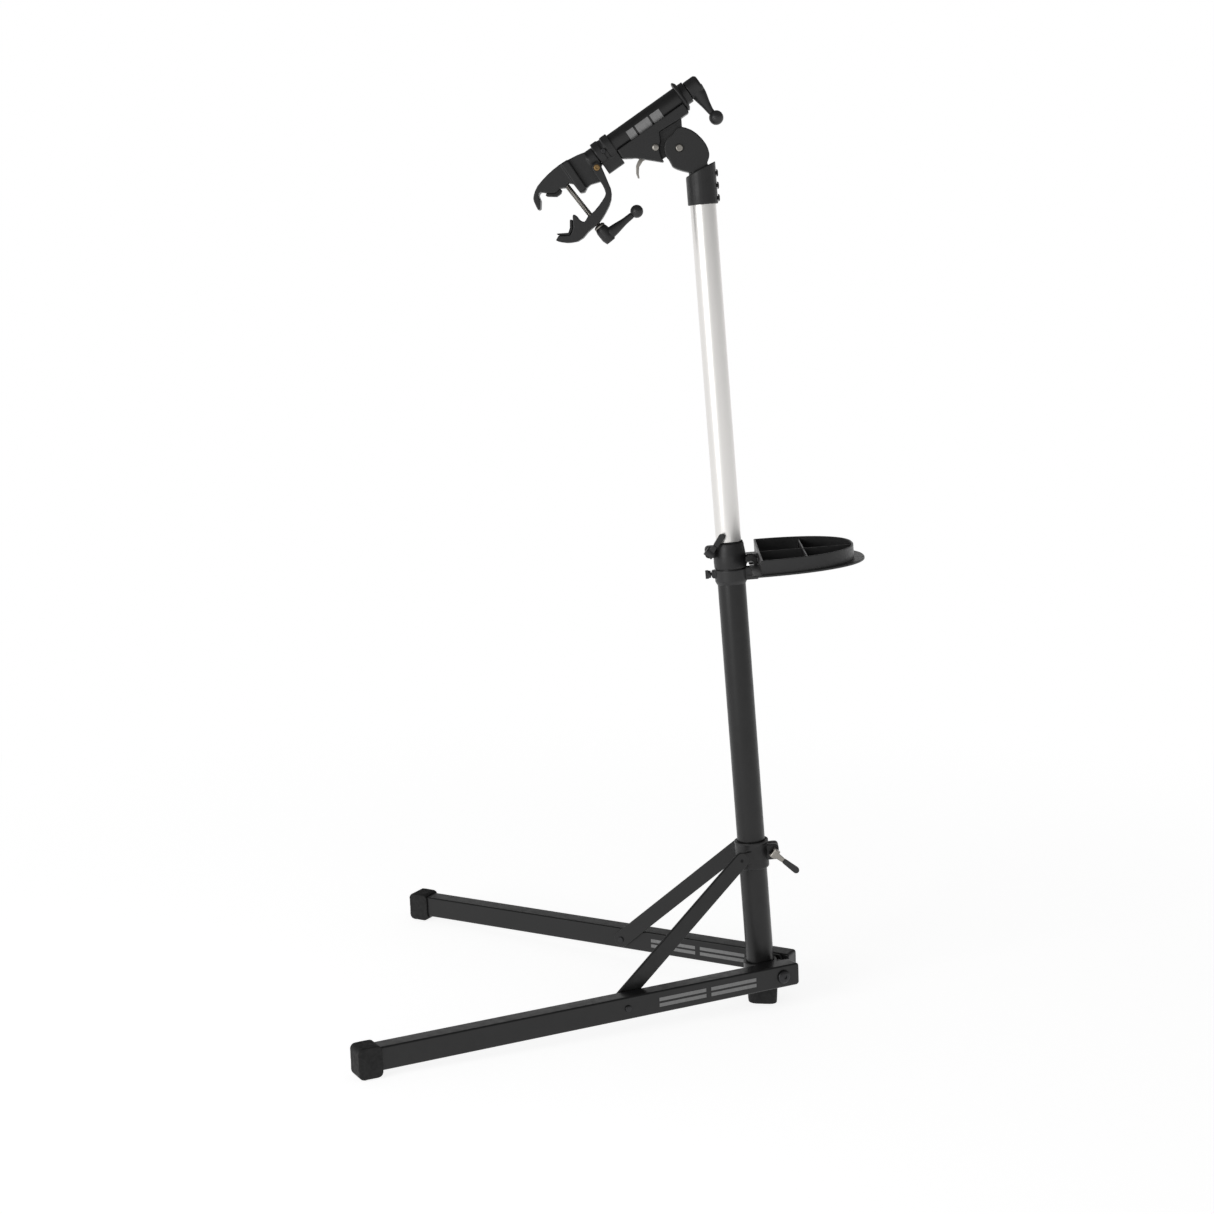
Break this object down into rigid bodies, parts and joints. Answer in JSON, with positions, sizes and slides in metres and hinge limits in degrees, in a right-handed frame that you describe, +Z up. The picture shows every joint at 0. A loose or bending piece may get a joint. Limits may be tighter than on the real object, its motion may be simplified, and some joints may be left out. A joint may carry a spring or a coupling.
{
  "type": "bicycle repair stand",
  "caption": "Folding bicycle repair stand: a leaning telescopic mast on folding legs with a post foot, a tool tray, and a tilting, rotating frame clamp closed by a screw crank.",
  "frame": {"origin": "centre of the post foot's sole, on the floor", "axes": "+Z up; -X towards the legs' feet and the clamp jaws; +X towards the tool tray; -Y towards the near leg and the quick-release levers"},
  "size_m": [0.6661, 0.7042, 1.2877],
  "materials": {
    "black_paint": "satin powder coat",
    "cast_black": "powder-coated casting",
    "black_plastic": "satin moulded",
    "black_rubber": "matte",
    "silver_tube": "satin anodised",
    "bright_steel": "bright zinc plated",
    "black_steel": "black oxide",
    "brass_pin": "satin"
  },
  "bodies": {
    "base": {"post_foot": "black_rubber", "lower_tube": "black_paint", "leg_bracket": "black_paint", "leg_bolt_near": "black_steel", "leg_bolt_far": "black_steel", "height_clamp": "cast_black", "height_skewer": "black_steel", "mast_seal": "black_rubber"},
    "leg_near": {"leg_near": "black_paint", "foot_cap_near": "black_rubber", "brace_bolt_near": "black_steel"},
    "leg_far": {"leg_far": "black_paint", "foot_cap_far": "black_rubber", "brace_bolt_far": "black_steel"},
    "collar": {"fold_collar": "cast_black", "fold_skewer": "black_steel", "ear_pin_near": "black_steel", "ear_pin_far": "black_steel"},
    "fold_lever": {"fold_lever": "bright_steel", "fold_lever_grip": "black_plastic"},
    "brace_near": {"brace_near": "black_paint", "brace_pin_near": "black_steel"},
    "brace_far": {"brace_far": "black_paint", "brace_pin_far": "black_steel"},
    "height_lever": {"height_lever": "black_plastic", "height_lever_grip": "black_plastic"},
    "tray_ring": {"tray_ring": "black_plastic"},
    "tray_knob": {"tray_knob": "black_plastic"},
    "tray": {"tray": "black_plastic"},
    "slider": {"guide_bush": "black_plastic"},
    "upper_mast": {"upper_tube": "silver_tube", "head_casting": "cast_black", "socket_screw_1": "black_paint", "socket_screw_2": "black_paint", "socket_screw_3": "black_paint", "tilt_bolt": "bright_steel", "tilt_nut": "bright_steel"},
    "arm": {"arm_cradle": "cast_black", "arm_tube": "black_paint", "rear_flange": "cast_black", "cradle_bolt": "bright_steel", "lock_collar": "cast_black", "lock_bolt": "black_steel"},
    "tilt_latch": {"tilt_latch": "bright_steel"},
    "rear_handle": {"rear_handle": "cast_black", "rear_knob": "black_plastic"},
    "jaw_head": {"jaw_shaft": "bright_steel", "upper_jaw": "cast_black", "upper_pad": "black_rubber", "jaw_pin": "brass_pin", "screw_pin": "bright_steel"},
    "lower_jaw": {"lower_jaw": "cast_black", "lower_pad": "black_rubber"},
    "clamp_screw": {"clamp_screw": "bright_steel"},
    "thrust_washer": {"thrust_washer": "bright_steel"},
    "crank": {"crank": "cast_black", "crank_knob": "black_plastic"}
  },
  "joints": [
    {"name": "collar_slide", "type": "slide", "parent": "base", "child": "collar", "axis": [-0.1063, 0, 0.9943], "range_m": [0, 0.3371]},
    {"name": "leg_near_fold", "type": "hinge", "parent": "base", "child": "leg_near", "pos_m": [0.019, -0.0315, 0.049], "axis": [-0.4778, 0.877, -0.0511], "range_deg": [0, 78.51]},
    {"name": "brace_near_turn", "type": "hinge", "parent": "collar", "child": "brace_near", "pos_m": [-0.04021, -0.03574, 0.21495], "axis": [-0.4778, 0.877, -0.0511], "range_deg": [-53.38, 0]},
    {"name": "leg_far_fold", "type": "hinge", "parent": "base", "child": "leg_far", "pos_m": [0.019, 0.0315, 0.049], "axis": [0.4778, 0.877, 0.0511], "range_deg": [0, 78.51]},
    {"name": "brace_far_turn", "type": "hinge", "parent": "collar", "child": "brace_far", "pos_m": [-0.04021, 0.03574, 0.21495], "axis": [0.4778, 0.877, 0.0511], "range_deg": [-53.38, 0]},
    {"name": "fold_lever_swing", "type": "hinge", "parent": "collar", "child": "fold_lever", "pos_m": [0.00745, -0.0174, 0.22205], "axis": [-0.5864, 0, -0.81], "range_deg": [0, 100]},
    {"name": "height_lever_swing", "type": "hinge", "parent": "base", "child": "height_lever", "pos_m": [-0.09674, -0.0164, 0.64638], "axis": [0.83, 0, -0.5577], "range_deg": [0, 100]},
    {"name": "tray_swivel", "type": "hinge", "parent": "base", "child": "tray_ring", "pos_m": [-0.06546, 0, 0.61251], "axis": [-0.1063, 0, 0.9943], "range_deg": [-100, 25]},
    {"name": "tray_knob_turn", "type": "hinge", "parent": "tray_ring", "child": "tray_knob", "pos_m": [-0.09388, 0, 0.61501], "axis": [-0.9943, 0, -0.1063], "range_deg": [0, 180]},
    {"name": "tray_lift", "type": "slide", "parent": "tray_ring", "child": "tray", "axis": [-0.1063, 0, 0.9943], "range_m": [0, 0.032]},
    {"name": "mast_slide", "type": "slide", "parent": "base", "child": "slider", "axis": [-0.1063, 0, 0.9943], "range_m": [-0.38, 0.03]},
    {"name": "mast_swivel", "type": "hinge", "parent": "slider", "child": "upper_mast", "pos_m": [-0.09564, 0, 0.8949], "axis": [-0.1063, 0, 0.9943], "continuous": true},
    {"name": "arm_tilt", "type": "hinge", "parent": "upper_mast", "child": "arm", "pos_m": [-0.15391, 0, 1.1927], "axis": [0, -1, 0], "range_deg": [-36, 18]},
    {"name": "latch_pull", "type": "hinge", "parent": "arm", "child": "tilt_latch", "pos_m": [-0.18584, 0, 1.19269], "axis": [0, -1, 0], "range_deg": [0, 8], "stiffness_Nm_per_rad": 0.3},
    {"name": "rear_handle_turn", "type": "hinge", "parent": "arm", "child": "rear_handle", "pos_m": [-0.13622, 0, 1.27367], "axis": [0.808, 0, 0.5892], "range_deg": [-90, 90]},
    {"name": "jaw_spin", "type": "hinge", "parent": "arm", "child": "jaw_head", "pos_m": [-0.26712, 0, 1.17822], "axis": [0.808, 0, 0.5892], "continuous": true},
    {"name": "crank_turn", "type": "hinge", "parent": "thrust_washer", "child": "crank", "pos_m": [-0.26131, 0, 1.08963], "axis": [-0.6453, 0, 0.764], "range_deg": [0, 1526]},
    {"name": "thrust_travel", "type": "slide", "parent": "clamp_screw", "child": "thrust_washer", "axis": [-0.6453, 0, 0.764], "range_m": [0, 0.02124]},
    {"name": "screw_swing", "type": "hinge", "parent": "jaw_head", "child": "clamp_screw", "pos_m": [-0.31112, 0, 1.14861], "axis": [0, 1, 0], "range_deg": [0, 21.47]},
    {"name": "lower_jaw_close", "type": "hinge", "parent": "jaw_head", "child": "lower_jaw", "pos_m": [-0.26378, 0, 1.16431], "axis": [0, 1, 0], "range_deg": [0, 25.05]}
  ],
  "couplings": [
    {"joint": "leg_near_fold", "follows": "collar_slide", "rad_per_m": 4.0621},
    {"joint": "brace_near_turn", "follows": "collar_slide", "rad_per_m": -2.761},
    {"joint": "leg_far_fold", "follows": "collar_slide", "rad_per_m": 4.0621},
    {"joint": "brace_far_turn", "follows": "collar_slide", "rad_per_m": -2.761},
    {"joint": "thrust_travel", "follows": "crank_turn", "m_per_rad": 0.00079575},
    {"joint": "screw_swing", "follows": "crank_turn", "ratio": 0.014035},
    {"joint": "lower_jaw_close", "follows": "crank_turn", "ratio": 0.016383}
  ]
}
